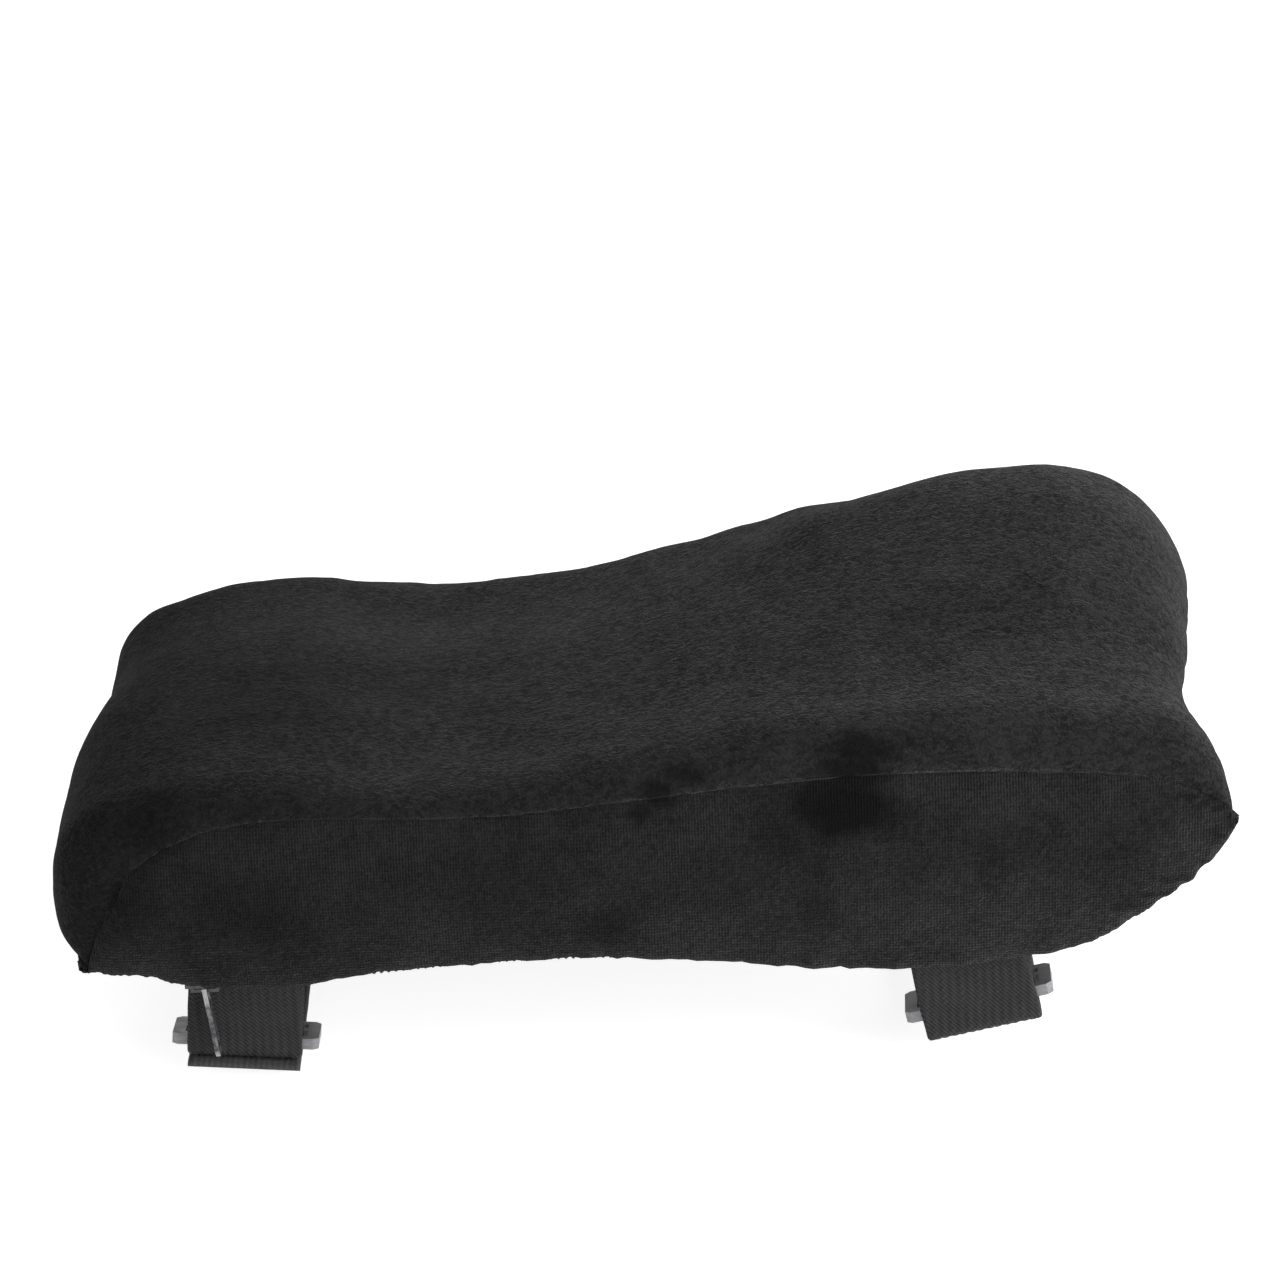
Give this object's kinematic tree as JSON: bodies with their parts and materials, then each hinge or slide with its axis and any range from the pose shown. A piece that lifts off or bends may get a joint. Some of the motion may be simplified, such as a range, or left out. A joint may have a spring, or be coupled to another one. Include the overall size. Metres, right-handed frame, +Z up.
{
  "type": "chair armrest pad",
  "caption": "Strap-on chair armrest pad: contoured foam block with a raised elbow end in a zipped black velour cover, held by two webbing and elastic slings with tri-glide buckles.",
  "frame": {"origin": "the middle of the flat underside along the pad's length and width, at the height of the underside of the cover; the slings hang below it", "axes": "+X runs along the pad from the low wrist end to the raised elbow end, +Y runs across it away from the zip, +Z is up"},
  "size_m": [0.2539, 0.122, 0.1057],
  "materials": {
    "velour": "short black pile, matt with a soft sheen at glancing angles",
    "foam": "open-cell viscoelastic foam, matt cream",
    "zip_tape": "woven black tape",
    "zip_coil": "black nylon coil",
    "zip_metal": "grey lacquered zinc, worn bright at the tip",
    "webbing": "black ribbed webbing with a diagonal weave",
    "elastic": "black knitted elastic",
    "buckle_plastic": "black moulded acetal, satin",
    "thread": "black sewing thread"
  },
  "bodies": {
    "pad": {"foam_core": "foam", "top_panel": "velour", "side_panel_near": "velour", "side_panel_far": "velour", "bottom_panel": "velour", "zip_tape_outer": "zip_tape", "zip_tape_inner": "zip_tape", "zip_coil_outer": "zip_coil", "zip_coil_inner": "zip_coil", "zip_top_stop": "zip_metal", "zip_bottom_stop": "zip_metal", "front_anchor_loop": "webbing", "front_elastic_riser": "elastic", "front_tack_near": "thread", "front_tack_far": "thread", "rear_anchor_loop": "webbing", "rear_elastic_riser": "elastic", "rear_tack_near": "thread", "rear_tack_far": "thread"},
    "zip_runner": {"zip_slider": "zip_metal"},
    "zip_tab": {"zip_pull": "zip_metal"},
    "front_sling": {"front_tri_glide": "buckle_plastic", "front_elastic_run": "elastic"},
    "rear_sling": {"rear_tri_glide": "buckle_plastic", "rear_elastic_run": "elastic"}
  },
  "joints": [
    {"name": "zip_travel", "type": "slide", "parent": "pad", "child": "zip_runner", "axis": [1, 0, 0], "range_m": [0, 0.168]},
    {"name": "zip_tab_swing", "type": "hinge", "parent": "zip_runner", "child": "zip_tab", "pos_m": [-0.0966, -0.0536, -0.0014], "axis": [0, 1, 0], "range_deg": [-60, 75]},
    {"name": "front_sling_stretch", "type": "slide", "parent": "pad", "child": "front_sling", "axis": [0, 0, -1], "range_m": [0, 0.018], "stiffness_N_per_m": 400, "deforming": ["front_anchor_loop", "front_elastic_riser"]},
    {"name": "rear_sling_stretch", "type": "slide", "parent": "pad", "child": "rear_sling", "axis": [0, 0, -1], "range_m": [0, 0.018], "stiffness_N_per_m": 400, "deforming": ["rear_anchor_loop", "rear_elastic_riser"]}
  ]
}
